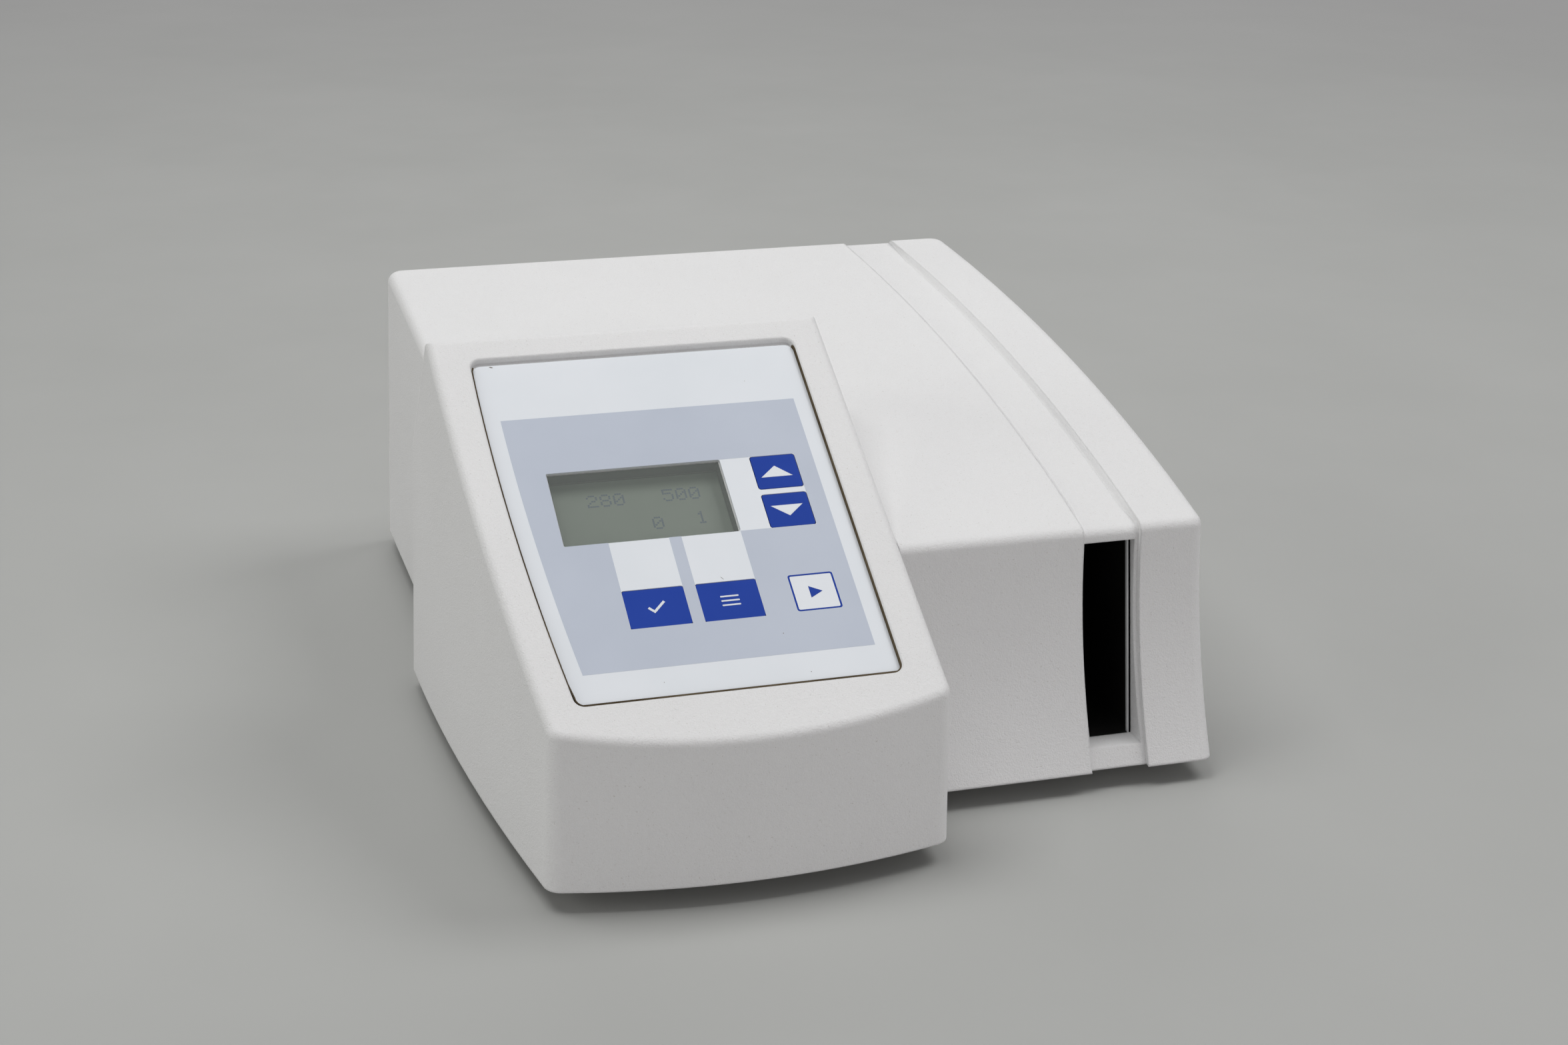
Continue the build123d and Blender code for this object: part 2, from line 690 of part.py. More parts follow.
# ------------------------------------------------------------ rear panel and what it carries
floor_out = -wall - tray_depth          # outer face of the tray's floor
floor_in = floor_out - tray_t
tray_w = opening_w - 1
tray_h = opening_h - 1
inlet_at = (opening_across - 50, opening_up)
inlet_w = 28.0
inlet_h = 40.0
inlet_r = 1.6
power_at = (opening_across - 12, opening_up)
power_w = 13.0
power_h = 19.0
port_at = (opening_across + 28, opening_up)
port_w = 16.9
port_h = 8.9
port_r = 2.0
stud_at = (opening_across + 56, opening_up - 8)
stud_r = 2.5


def floor_hole(place, w, h, r=0.0):
    """A hole through the tray's floor, with clearance round what it holds."""
    rear_box(
        *place, w + 2 * slide_gap, h + 2 * slide_gap,
        2 * floor_in, 0, r=r, mode=Mode.SUBTRACT,
    )


with BuildPart() as rear_panel:
    rear_box(
        opening_across, opening_up, opening_w + 4 * tray_lip, opening_h + tray_lip,
        -wall - tray_t, -wall - seat_gap,
    )
    rear_box(opening_across, opening_up, tray_w, tray_h, floor_in, -wall - seat_gap, r=opening_r - 0.5)
    rear_box(
        opening_across, opening_up, tray_w - 2 * tray_t, tray_h - 2 * tray_t,
        floor_out, wall, r=opening_r - tray_t, mode=Mode.SUBTRACT,
    )
    for across, up in rear_screws:
        rear_disc(across, up, screw_hole_r, -3 * wall, 0, mode=Mode.SUBTRACT)
    floor_hole(inlet_at, inlet_w, inlet_h, inlet_r)
    floor_hole(power_at, power_w, power_h)
    floor_hole(port_at, port_w, port_h, port_r)
    rear_disc(*stud_at, stud_r + fit_gap, 2 * floor_in, 0, mode=Mode.SUBTRACT)
save(rear_panel, "rear_panel")

rear_head = -screw_head_t  # underside of a rear screw's head, and its face
rear_face = -0.2
driver_slot = (3.4, 0.8, 0.7)
with BuildPart() as rear_panel_screws:
    for across, up in rear_screws:
        rear_disc(across, up, screw_r, floor_out, rear_head)
        rear_disc(across, up, screw_head_r, rear_head, rear_face)
        slot_l, slot_t, slot_deep = driver_slot
        rear_box(across, up, slot_l, slot_t, rear_face - slot_deep, 0, mode=Mode.SUBTRACT)
save(rear_panel_screws, "rear_panel_screws")

# mains inlet with a fuse drawer below its socket
inlet_x, inlet_up = inlet_at
inlet_t = 20.0             # inlet body behind the tray's floor
inlet_face = floor_out + 2
socket_w = 24.0
socket_h = 16.5
socket_deep = 16.0
drawer_w = 20.0
drawer_h = 9.0
drawer_deep = 15.0
drawer_up = inlet_up - 13.5
blade_w = 2.0
blade_h = 4.0
blade_places = [(inlet_x - 7, inlet_up + 4), (inlet_x, inlet_up + 8), (inlet_x + 7, inlet_up + 4)]
with BuildPart() as mains_inlet:
    rear_box(*inlet_at, inlet_w + 4, inlet_h + 4, floor_out, inlet_face, r=3)
    rear_box(*inlet_at, inlet_w, inlet_h, floor_out - inlet_t, floor_out, r=inlet_r)
    rear_box(
        inlet_x, inlet_up + 6, socket_w, socket_h,
        floor_out - socket_deep, 0, r=3.5, mode=Mode.SUBTRACT,
    )
    rear_box(
        inlet_x, drawer_up, drawer_w + 2 * slide_gap, drawer_h + 2 * slide_gap,
        floor_out - drawer_deep - 2, 0, mode=Mode.SUBTRACT,
    )
    for across, up in blade_places:
        rear_box(across, up, blade_w, blade_h, floor_out - 2 * inlet_t, 0, mode=Mode.SUBTRACT)
save(mains_inlet, "mains_inlet")

with BuildPart() as inlet_pins:
    for across, up in blade_places:
        rear_box(across, up, blade_w, blade_h, floor_out - inlet_t - 4, floor_out - 3)
save(inlet_pins, "inlet_pins")

with BuildPart() as fuse_drawer:
    rear_box(inlet_x, drawer_up, drawer_w, drawer_h, floor_out - drawer_deep, inlet_face)
    rear_box(
        inlet_x, drawer_up, drawer_w - 5, drawer_h - 3,
        floor_out - drawer_deep + 2, floor_out - 3, mode=Mode.SUBTRACT,
    )
    pull_up = drawer_up + drawer_h / 2
    rear_box(inlet_x, pull_up, 8, 2.4, inlet_face - 1, inlet_face, mode=Mode.SUBTRACT)
save(fuse_drawer, "fuse_drawer")

# power switch: a frame, and a rocker on two trunnions
rocker_w = 9.4
rocker_r = 7.6
rocker_well = 16.6         # height of the well that the rocker turns in
rocker_tilt = 8.0          # lean of the rocker's face at rest, degrees
rocker_face = 5.0          # face in front of the trunnions
trunnion_r = 1.2
trunnion_reach = 1.3       # each trunnion's length into the frame
trunnion = floor_out - 4.0
with BuildPart() as switch_frame:
    rear_box(*power_at, power_w + 2.5, power_h + 3, floor_out, floor_out + 1.5, r=1)
    rear_box(*power_at, power_w, power_h, floor_out - 16, floor_out)
    rear_box(
        *power_at, rocker_w + 2 * slide_gap, rocker_well,
        floor_out - 12, 0, mode=Mode.SUBTRACT,
    )
    with Locations(rear.offset(trunnion)):
        with Locations(Pos(*power_at, 0) * Rot(0, 90, 0)):
            seat_l = rocker_w + 2 * (trunnion_reach + pin_fit)
            Cylinder(trunnion_r + pin_fit, seat_l, mode=Mode.SUBTRACT)
save(switch_frame, "switch_frame")

with BuildPart() as power_rocker:
    with Locations(rear.offset(trunnion)):
        with Locations(Pos(*power_at, 0) * Rot(0, 90, 0)):
            Cylinder(rocker_r, rocker_w)
            Cylinder(trunnion_r, rocker_w + 2 * trunnion_reach)
        with Locations(Pos(*power_at, rocker_face) * Rot(rocker_tilt, 0, 0)):
            with Locations((0, 0, rocker_r)):
                Box(3 * rocker_r, 3 * rocker_r, 2 * rocker_r, mode=Mode.SUBTRACT)
save(power_rocker, "power_rocker")

port_plate = floor_out + 0.8
port_shell = 0.5
with BuildPart() as serial_port:
    rear_box(*port_at, port_w + 13.9, port_h + 3.6, floor_out, port_plate, r=port_r)
    rear_box(*port_at, port_w, port_h, floor_out - 9, floor_out + 5.2, r=port_r)
    rear_box(
        *port_at, port_w - 2 * port_shell, port_h - 2 * port_shell,
        port_plate, 0, r=port_r - port_shell, mode=Mode.SUBTRACT,
    )
    for side in (-1, 1):
        rear_disc(port_at[0] + side * 12.5, port_at[1], 2.4, floor_out, floor_out + 4.5)
save(serial_port, "serial_port")

with BuildPart() as earth_stud:
    rear_disc(*stud_at, stud_r, floor_out - 9, floor_out + 5)
    rear_disc(*stud_at, stud_r + 2.1, floor_out, floor_out + 2.8)
    rear_disc(*stud_at, stud_r + 1.7, floor_in - 2.4, floor_in)
save(earth_stud, "earth_stud")

# ------------------------------------------------------------ mains transformer
core_w = 60.0
core_l = 30.0              # stack of laminations, front to rear
core_h = 52.0
core_lift = 2.0            # on its feet, which are as thick
core_x = main_left + 61.75
core_y = back_y - 71.0
core_z = plate_top + core_lift
leg = 10.0                 # half the middle leg, and the height of the yokes
window = 10.0              # width of each window beside the middle leg
winding_l = 50.0
with BuildPart() as transformer_core:
    box_between(
        core_x - core_w / 2, core_x + core_w / 2, core_y - core_l / 2, core_y + core_l / 2,
        core_z, core_z + core_h,
    )
    for side in (-1, 1):
        window_x = core_x + side * (leg + window / 2)
        box_between(
            window_x - window / 2, window_x + window / 2, core_y - core_l, core_y + core_l,
            core_z + leg, core_z + core_h - leg, mode=Mode.SUBTRACT,
        )
        tab_x = core_x + side * core_w / 2
        box_between(
            tab_x - 8, tab_x + 8, core_y - core_l * 0.4, core_y + core_l * 0.4,
            plate_top, core_z,
        )
save(transformer_core, "transformer_core")

with BuildPart() as transformer_winding:
    winding_w = leg + window - 0.5
    box_between(
        core_x - winding_w, core_x + winding_w, core_y - winding_l / 2, core_y + winding_l / 2,
        core_z + leg + fit_gap, core_z + core_h - leg - fit_gap,
    )
    fillet(transformer_winding.edges().filter_by(Axis.Z), 6)
    box_between(
        core_x - leg - fit_gap, core_x + leg + fit_gap,
        core_y - core_l / 2 - fit_gap, core_y + core_l / 2 + fit_gap,
        0, top_back_z, mode=Mode.SUBTRACT,
    )
save(transformer_winding, "transformer_winding")

# ------------------------------------------------------------ boards on standoffs
board_z = plate_top + standoff_h
board_top_z = board_z + board_t
pulse_x = (pod_right + 4.75, block_x0 - 3.75)
pulse_y = (front_y + 32.3, back_y - 50)
control_x = (pod_left + 22.25, pod_right - 15.25)
control_y = (pod_front + 24, pod_front + 98)


def circuit_board(xs, ys, name, holes):
    with BuildPart() as board:
        box_between(*xs, *ys, board_z, board_top_z)
        for hole_x, hole_y in holes:
            upright(hole_x, hole_y, screw_hole_r, board_z - 1, board_top_z + 1, mode=Mode.SUBTRACT)
    save(board, name)


def corner_holes(xs, ys):
    return [(x, y) for x in (xs[0] + 5, xs[1] - 5) for y in (ys[0] + 5, ys[1] - 5)]


pulse_holes = corner_holes(pulse_x, pulse_y)
control_holes = corner_holes(control_x, control_y)
circuit_board(pulse_x, pulse_y, "pulse_board", pulse_holes)
circuit_board(control_x, control_y, "control_board", control_holes)

for name, holes in (("pulse_standoffs", pulse_holes), ("control_standoffs", control_holes)):
    with BuildPart() as standoffs:
        for hole_x, hole_y in holes:
            upright(hole_x, hole_y, standoff_r, plate_top, board_z)
            upright(hole_x, hole_y, screw_r, board_z, board_top_z)
            upright(hole_x, hole_y, screw_head_r, board_top_z, board_top_z + 1.4)
    save(standoffs, name)

relay_x = pulse_x[1] - 2.5
relay_y = pulse_y[0] + 10
relay_w = 20.0
relay_l = 24.0
with BuildPart() as relay:
    box_between(
        relay_x - relay_w, relay_x, relay_y, relay_y + relay_l,
        board_top_z, board_top_z + 17,
    )
    fillet(relay.edges().filter_by(Axis.Z), 1)
save(relay, "pulse_relay")

capacitor_r = 13.0
capacitor_h = 40.0
capacitor_gap = 2.0
capacitor_x = pulse_x[0] + 16
capacitor_y = relay_y + relay_l + capacitor_gap + capacitor_r
capacitor_pitch = 2 * capacitor_r + capacitor_gap
for number in range(4):
    with BuildPart() as capacitor:
        y = capacitor_y + number * capacitor_pitch
        upright(capacitor_x, y, capacitor_r, board_top_z, board_top_z + capacitor_h)
        fillet(capacitor.edges().group_by(Axis.Z)[-1], 1.2)
    save(capacitor, f"capacitor_{number + 1}")

fin_count = 7
fin_t = 2.0
sink_base = 5.0
sink_h = 34.0
sink_x = (pulse_x[0] + 4, pulse_x[1] - 4)
sink_y = (capacitor_y + 3 * capacitor_pitch + capacitor_r + 3, pulse_y[1] - 10)
fin_pitch = (sink_x[1] - sink_x[0] - fin_t) / (fin_count - 1)
with BuildPart() as heat_sink:
    box_between(*sink_x, *sink_y, board_top_z, board_top_z + sink_base)
    for number in range(fin_count):
        fin_x = sink_x[0] + number * fin_pitch
        box_between(fin_x, fin_x + fin_t, *sink_y, board_top_z + sink_base, board_top_z + sink_h)
save(heat_sink, "heat_sink")

chip_x = control_x[0] + 38
chip_y = control_y[0] + 22
chip_w = 24.0
with BuildPart() as controller_chip:
    box_between(chip_x, chip_x + chip_w, chip_y, chip_y + chip_w, board_top_z, board_top_z + 3)
save(controller_chip, "controller_chip")

# ------------------------------------------------------------ leads and ribbon
lead_r = 1.4
bend_r = 4.0
lead_x = pulse_x[1] - 6
lead_reach = {"lower_lead": 8.0, "upper_lead": 11.5}
for (name, reach), z in zip(lead_reach.items(), pin_heights.values()):
    turn_y = block_back + reach
    with BuildPart() as lead:
        with BuildLine() as route:
            FilletPolyline(
                (slot_x, block_back, z),
                (slot_x, turn_y, z),
                (lead_x, turn_y, z),
                (lead_x, turn_y, board_top_z),
                radius=bend_r,
            )
        with BuildSketch(Plane(origin=(slot_x, block_back, z), z_dir=(0, 1, 0))):
            Circle(lead_r)
        sweep()
    save(lead, name)

ribbon_w = 24.0
ribbon_t = 0.9
ribbon_x = (control_x[0] + control_x[1]) / 2
ribbon_drop = 12.0         # straight run at each end
ribbon_y = control_y[1] - 12
tail_at = (0, -board_top - 60, -key_board_depth - board_t)
tail = panel.from_local_coords(Vector(*tail_at))
tail_low = tail - panel.z_dir * ribbon_drop
with BuildPart() as ribbon_cable:
    with BuildLine() as route:
        FilletPolyline(
            (ribbon_x, tail.Y, tail.Z),
            (ribbon_x, tail_low.Y, tail_low.Z),
            (ribbon_x, ribbon_y, tail_low.Z - ribbon_drop),
            (ribbon_x, ribbon_y, board_top_z),
            radius=bend_r,
        )
    with BuildSketch(Plane(origin=(ribbon_x, tail.Y, tail.Z), x_dir=(1, 0, 0), z_dir=-panel.z_dir)):
        Rectangle(ribbon_w, ribbon_t)
    sweep()
save(ribbon_cable, "ribbon_cable")
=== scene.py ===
from math import cos, radians, sin, sqrt

import bpy
from mathutils import Matrix, Vector
from mathutils.bvhtree import BVHTree


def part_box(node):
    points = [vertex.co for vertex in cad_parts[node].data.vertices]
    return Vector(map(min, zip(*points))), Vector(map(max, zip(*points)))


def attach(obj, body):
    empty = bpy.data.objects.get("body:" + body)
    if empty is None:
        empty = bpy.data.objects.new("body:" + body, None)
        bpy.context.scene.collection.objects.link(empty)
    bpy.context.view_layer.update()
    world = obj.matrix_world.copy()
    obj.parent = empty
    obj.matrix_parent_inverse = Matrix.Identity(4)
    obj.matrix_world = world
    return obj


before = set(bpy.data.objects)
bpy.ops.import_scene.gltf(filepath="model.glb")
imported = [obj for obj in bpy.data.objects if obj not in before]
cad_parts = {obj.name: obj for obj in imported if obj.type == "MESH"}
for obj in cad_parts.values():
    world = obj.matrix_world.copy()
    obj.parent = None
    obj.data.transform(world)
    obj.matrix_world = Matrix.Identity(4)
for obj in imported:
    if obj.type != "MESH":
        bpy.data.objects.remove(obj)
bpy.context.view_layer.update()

# ------------------------------------------------------------ sizes, in metres
MM = 0.001
PANEL_SLOPE = radians(29.2)
PANEL_NORMAL = Vector((0, -sin(PANEL_SLOPE), cos(PANEL_SLOPE)))
PANEL_UP = Vector((0, cos(PANEL_SLOPE), sin(PANEL_SLOPE)))
PANEL_RIGHT = Vector((1, 0, 0))
# display's upper left corner: in from the console's left and front, up from the table
LEFT, FRONT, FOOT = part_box("console_housing")[0]
DISPLAY_IN, DISPLAY_BACK, DISPLAY_UP = 32.3 * MM, 97.7 * MM, 99.95 * MM
PANEL_AT = Vector((LEFT + DISPLAY_IN, FRONT + DISPLAY_BACK, FOOT + DISPLAY_UP))
PRINT_LIFT, WEAR_LIFT = 0.03 * MM, 0.05 * MM    # how far film and wear stand off their surface

# main cover's channel and its two bowed walls, which fall to the left by WALL_CURVE times the
# distance from their apex squared; each has its side's flat top at RIDGE_X
CHANNEL_X = 90 * MM
RIGHT_WALL_X, RIGHT_RIDGE_X = 100.62 * MM, 106 * MM
LEFT_WALL_X, LEFT_RIDGE_X = 80.34 * MM, 70 * MM
WALL_APEX_Y, WALL_CURVE = 16.4 * MM, 0.235
CREASE_REAR_Y, CREASE_FRONT_Y = 152 * MM, -95 * MM
CREASE_IN, CREASE_OUT = 1.95 * MM, 0.35 * MM    # the ramp's reach to each side of its wall
CREASE_END = 0.08           # share of its width that is left at both ends
ABOVE_ALL = 0.2             # higher than any part of the object

# ------------------------------------------------------------ sizes on the label
# in millimetres right of and below the display's upper left corner
DISPLAY_W, DISPLAY_H, DISPLAY_DEPTH = 57.3, 29.9, 6.0
LABEL_TOP, LABEL_BOTTOM, LABEL_RIGHT, LABEL_CORNER_R = -47.9, 91.0, 94.2, 3.0
LABEL_LEFT, LABEL_LEFT_R, LABEL_LEFT_APEX = -15.8, 950.0, -30.0
FIELD_TOP, FIELD_BOTTOM, FIELD_RIGHT = -23.7, 79.4, 88.7
FIELD_MARGIN = 5.5          # between the label's left edge and the grey field's
WHITE_RIGHT, WHITE_FOOT = 82.7, 30      # white patch round the display and the arrow keys
KEYS = {                    # left, top, width and height
    "set_key": (14.2, 49.6, 19.6, 14.6),
    "mode_key": (37.8, 49.6, 19.5, 14.6),
    "start_key": (67.7, 49.5, 14.8, 14.4),
    "up_key": (67.6, 0.2, 14.9, 13.6),
    "down_key": (67.6, 16.4, 14.9, 13.5),
}
START_R, START_INNER_R, START_LINE = 0.9, 0.5, 0.6      # the start key's printed outline
ARC_STEPS, LABEL_ARC_STEPS = 5, 8       # straight pieces in a rounded corner
PRINT_THICK = 0.02
GAP_W, GAP_LAP = 0.45, 0.25             # gap round the label, and how far its dirt and painted shade lap onto the foot
GAP_MIDDLE, GAP_THICK = 0.19, 1.78      # the fill's middle height over the label, and its thickness; the fill is dirt plus painted shade
GASKET_OUTER, GASKET_OUTER_R = 0.03, 0.8        # its edges, in from the display's
GASKET_INNER, GASKET_INNER_R = 0.35, 0.6
GASKET_MIDDLE, GASKET_THICK = -2.95, 4.1
DOT, DOT_PITCH, DIGIT_COLUMNS = 0.62, 0.7316, 6         # a digit's columns count the gap after it
# in millimetres from the middle of the rocker's face
BAR_HALF_W, BAR_LOW, BAR_HIGH = 0.3, 2.4, 5.2
RING_R, RING_HOLE_R, RING_DOWN, RING_STEP = 1.4, 0.9, 3.8, 18       # its step is in degrees


# ------------------------------------------------------------ node helpers
def seen_by(tree):
    """1 for a ray from the camera, a reflection or glass."""
    path = tree.nodes.new("ShaderNodeLightPath").outputs
    seen = path["Is Camera Ray"]
    for other in ("Is Glossy Ray", "Is Transmission Ray"):
        either = tree.nodes.new("ShaderNodeMath")
        either.operation = "MAXIMUM"
        tree.links.new(seen, either.inputs[0])
        tree.links.new(path[other], either.inputs[1])
        seen = either.outputs[0]
    return seen


class Nodes:
    """A material's node tree, with short calls for the nodes used here."""

    def __init__(self, name):
        self.material = bpy.data.materials.new(name)
        self.material.use_nodes = True
        self.tree = self.material.node_tree
        self.shader = self.tree.nodes["Principled BSDF"]
        self.place = self.tree.nodes.new("ShaderNodeTexCoord").outputs["Object"]

    def add(self, kind, **values):
        node = self.tree.nodes.new(kind)
        for key, value in values.items():
            setattr(node, key, value)
        return node

    def link(self, out, into):
        self.tree.links.new(out, into)

    def noise(self, scale, detail=3.0, rough=0.5, stretch=None):
        node = self.add("ShaderNodeTexNoise")
        node.inputs["Scale"].default_value = scale
        node.inputs["Detail"].default_value = detail
        node.inputs["Roughness"].default_value = rough
        place = self.place
        if stretch:
            mapping = self.add("ShaderNodeMapping")
            mapping.inputs["Scale"].default_value = stretch
            self.link(place, mapping.inputs["Vector"])
            place = mapping.outputs["Vector"]
        self.link(place, node.inputs["Vector"])
        return node.outputs["Fac"]

    def cells(self, scale):
        node = self.add("ShaderNodeTexVoronoi")
        node.inputs["Scale"].default_value = scale
        self.link(self.place, node.inputs["Vector"])
        return node.outputs["Distance"]

    def ramp(self, value, low, high, a=0.0, b=1.0, kind="LINEAR"):
        """a up to low and b from high on, with a slope between them."""
        node = self.add("ShaderNodeMapRange", interpolation_type=kind)
        node.inputs["From Min"].default_value = low
        node.inputs["From Max"].default_value = high
        node.inputs["To Min"].default_value = a
        node.inputs["To Max"].default_value = b
        self.link(value, node.inputs["Value"])
        return node.outputs["Result"]

    def mix(self, fac, a, b):
        """Between two colours, each a tuple or a socket."""
        node = self.add("ShaderNodeMix", data_type="RGBA")
        self.link(fac, node.inputs["Factor"])
        for socket, colour in ((node.inputs[6], a), (node.inputs[7], b)):
            if isinstance(colour, tuple):
                socket.default_value = (*colour, 1.0)
            else:
                self.link(colour, socket)
        return node.outputs[2]

    def times(self, a, b):
        """A socket times a number or another socket."""
        node = self.add("ShaderNodeMath", operation="MULTIPLY")
        self.link(a, node.inputs[0])
        if isinstance(b, (int, float)):
            node.inputs[1].default_value = b
        else:
            self.link(b, node.inputs[1])
        return node.outputs[0]

    def colour(self, source):
        self.link(source, self.shader.inputs["Base Color"])

    def rough(self, source):
        self.link(source, self.shader.inputs["Roughness"])

    def bump(self, height, distance, strength=1.0):
        """Adds relief; each call sits on the one before."""
        node = self.add("ShaderNodeBump")
        node.inputs["Strength"].default_value = strength
        node.inputs["Distance"].default_value = distance
        self.link(height, node.inputs["Height"])
        below = self.shader.inputs["Normal"]
        if below.is_linked:
            self.link(below.links[0].from_socket, node.inputs["Normal"])
        self.link(node.outputs["Normal"], below)

    def soft_edges(self, radius):
        """Rounds the shading of sharp edges; comes before any relief."""
        node = self.add("ShaderNodeBevel", samples=6)
        node.inputs["Radius"].default_value = radius
        self.link(node.outputs["Normal"], self.shader.inputs["Normal"])

    def set(self, **values):
        for key, value in values.items():
            self.shader.inputs[key.replace("_", " ")].default_value = value


# ------------------------------------------------------------ materials
def speckled_paint(name, base, shade, grime):
    """The housing's white, fine-textured paint, a little handled."""
    m = Nodes(name)
    cloud = m.ramp(m.noise(9, 4, 0.55), 0.35, 0.7)
    tone = m.mix(cloud, base, shade)
    grain = m.ramp(m.noise(3200, 2, 0.7), 0.36, 0.64, 0.0, 0.07)
    tone = m.mix(grain, tone, grime)
    fleck = m.ramp(m.noise(1500, 2, 0.6), 0.66, 0.74)
    tone = m.mix(m.times(fleck, 0.35), tone, grime)
    spots = m.ramp(m.cells(46), 0.035, 0.02)
    tone = m.mix(m.times(spots, m.ramp(m.noise(30, 1), 0.6, 0.68)), tone, grime)
    m.colour(tone)
    m.rough(m.ramp(m.noise(60, 3), 0.3, 0.7, 0.50, 0.60))
    m.soft_edges(1.1 * MM)
    m.bump(m.noise(1900, 3, 0.65), 0.26 * MM, 0.9)
    m.bump(m.noise(700, 2, 0.5), 0.3 * MM, 0.4)
    return m.material


def moulded(name, base, shade, rough=0.4, grain=900, depth=0.1 * MM, gloss=0.5, edge=0.0):
    """A moulded or printed plastic with a slight cloud of tone and a fine grain."""
    m = Nodes(name)
    m.set(Specular_IOR_Level=gloss)
    if edge > 0:
        m.soft_edges(edge)
    m.colour(m.mix(m.ramp(m.noise(32, 3), 0.35, 0.7), base, shade))
    m.rough(m.ramp(m.noise(70, 3), 0.3, 0.7, rough - 0.05, rough + 0.06))
    m.bump(m.noise(grain, 3, 0.6), depth, 0.4)
    return m.material


def printed(name, base, shade, gloss=0.25, edge=0.2 * MM):
    """The matt film of the label and the keys."""
    return moulded(name, base, shade, 0.42, 2600, 0.03 * MM, gloss, edge)


def metal(name, base, shade, rough=0.35, stretch=(40, 1, 1), grain=60):
    """Brushed or drawn metal."""
    m = Nodes(name)
    lines = m.noise(grain, 4, 0.6, stretch=stretch)
    m.colour(m.mix(m.ramp(lines, 0.3, 0.7), base, shade))
    m.rough(m.ramp(lines, 0.3, 0.7, rough - 0.08, rough + 0.1))
    m.bump(lines, 0.05 * MM, 0.4)
    m.set(Metallic=1.0)
    return m.material


def board_material():
    """Green solder mask over faint copper runs."""
    m = Nodes("board_green")
    run = m.add("ShaderNodeTexWave", wave_type="BANDS", bands_direction="DIAGONAL", wave_profile="SIN")
    run.inputs["Scale"].default_value = 120
    run.inputs["Distortion"].default_value = 14
    run.inputs["Detail"].default_value = 1
    run.inputs["Detail Scale"].default_value = 0.6
    m.link(m.place, run.inputs["Vector"])
    track = m.ramp(run.outputs["Fac"], 0.78, 0.84)
    m.colour(m.mix(track, (0.012, 0.11, 0.045), (0.03, 0.19, 0.075)))
    m.rough(m.ramp(track, 0, 1, 0.32, 0.26))
    m.bump(track, 0.06 * MM, 0.5)
    return m.material


def display_material():
    """Olive display glass with a faint cloud of tone."""
    m = Nodes("display_olive")
    m.colour(m.mix(m.ramp(m.noise(22, 3), 0.3, 0.7), (0.165, 0.20, 0.16), (0.18, 0.215, 0.175)))
    m.rough(m.ramp(m.noise(400, 2), 0.3, 0.7, 0.30, 0.38))
    m.bump(m.noise(1800, 2), 0.02 * MM, 0.3)
    return m.material


def window_material():
    """The clear film over the display."""
    m = Nodes("clear_window")
    m.rough(m.ramp(m.noise(300, 3), 0.3, 0.7, 0.06, 0.12))
    m.colour(m.mix(m.ramp(m.noise(40, 3), 0.35, 0.7), (0.42, 0.46, 0.43), (0.39, 0.43, 0.40)))
    m.set(Alpha=0.15, IOR=1.46)
    return m.material


HOUSING = speckled_paint("housing_paint", (0.82, 0.82, 0.82), (0.795, 0.795, 0.795), (0.36, 0.32, 0.27))
FRAME = moulded("frame_white", (0.72, 0.73, 0.735), (0.68, 0.69, 0.695), 0.34, 900, 0.12 * MM, edge=0.7 * MM)
LABEL = printed("label_film", (0.78, 0.81, 0.845), (0.755, 0.79, 0.825))
FIELD = printed("field_grey_blue", (0.525, 0.57, 0.655), (0.50, 0.545, 0.63), edge=0)
KEY_BLUE = printed("key_blue", (0.011, 0.048, 0.33), (0.015, 0.055, 0.36), gloss=0.1)
KEY_WHITE = printed("key_white", (0.78, 0.81, 0.845), (0.76, 0.79, 0.825))
BLACK = moulded("chute_black", (0.006, 0.006, 0.006), (0.012, 0.012, 0.011), 0.38, 400)
GLOSS_BLACK = moulded("plastic_black", (0.012, 0.012, 0.013), (0.02, 0.02, 0.021), 0.25, 600, 0.06 * MM)
RUBBER = moulded("foot_rubber", (0.02, 0.02, 0.02), (0.04, 0.04, 0.038), 0.75, 500, 0.2 * MM)
PLATE = moulded("plate_paint", (0.42, 0.42, 0.40), (0.38, 0.38, 0.365), 0.45, 1200, 0.15 * MM)
AMBER = moulded("winding_tape", (0.52, 0.33, 0.05), (0.45, 0.27, 0.04), 0.25, 300, 0.2 * MM)
SLEEVE = moulded("capacitor_sleeve", (0.02, 0.035, 0.14), (0.03, 0.045, 0.17), 0.25, 300, 0.08 * MM)
RED = moulded("lead_red", (0.42, 0.02, 0.015), (0.36, 0.02, 0.015), 0.35, 300, 0.08 * MM)
RIBBON = moulded("ribbon_grey", (0.36, 0.36, 0.36), (0.30, 0.30, 0.31), 0.5, 300, 0.08 * MM)
PLUNGER = moulded("plunger_white", (0.68, 0.68, 0.66), (0.62, 0.62, 0.60), 0.3, 300, 0.05 * MM)
INK = moulded("display_ink", (0.085, 0.115, 0.15), (0.095, 0.125, 0.16), 0.5, 900, 0.02 * MM, 0.2)
# painted shade: the surround's near-black also stands in for the shadow band inside the display's recess
SURROUND_AND_SHADE = moulded("display_surround_and_shade", (0.035, 0.036, 0.034), (0.05, 0.05, 0.048), 0.6, 900, 0.08 * MM, 0.3)
WEAR = moulded("wear_mark", (0.22, 0.20, 0.18), (0.30, 0.28, 0.25), 0.7, 900, 0.05 * MM, 0.1)
# painted shade: dark brown fill of the label's gap, part dirt and part the shade that falls inside the gap
GRIME_AND_GAP_SHADE = moulded("gap_grime_and_shade", (0.055, 0.040, 0.022), (0.12, 0.095, 0.06), 0.8, 900, 0.05 * MM, 0.1)
STEEL = metal("plated_steel", (0.55, 0.55, 0.54), (0.45, 0.45, 0.44))
LAMINATIONS = metal("laminated_core", (0.16, 0.15, 0.14), (0.08, 0.075, 0.07), 0.5, (1, 60, 1), 20)
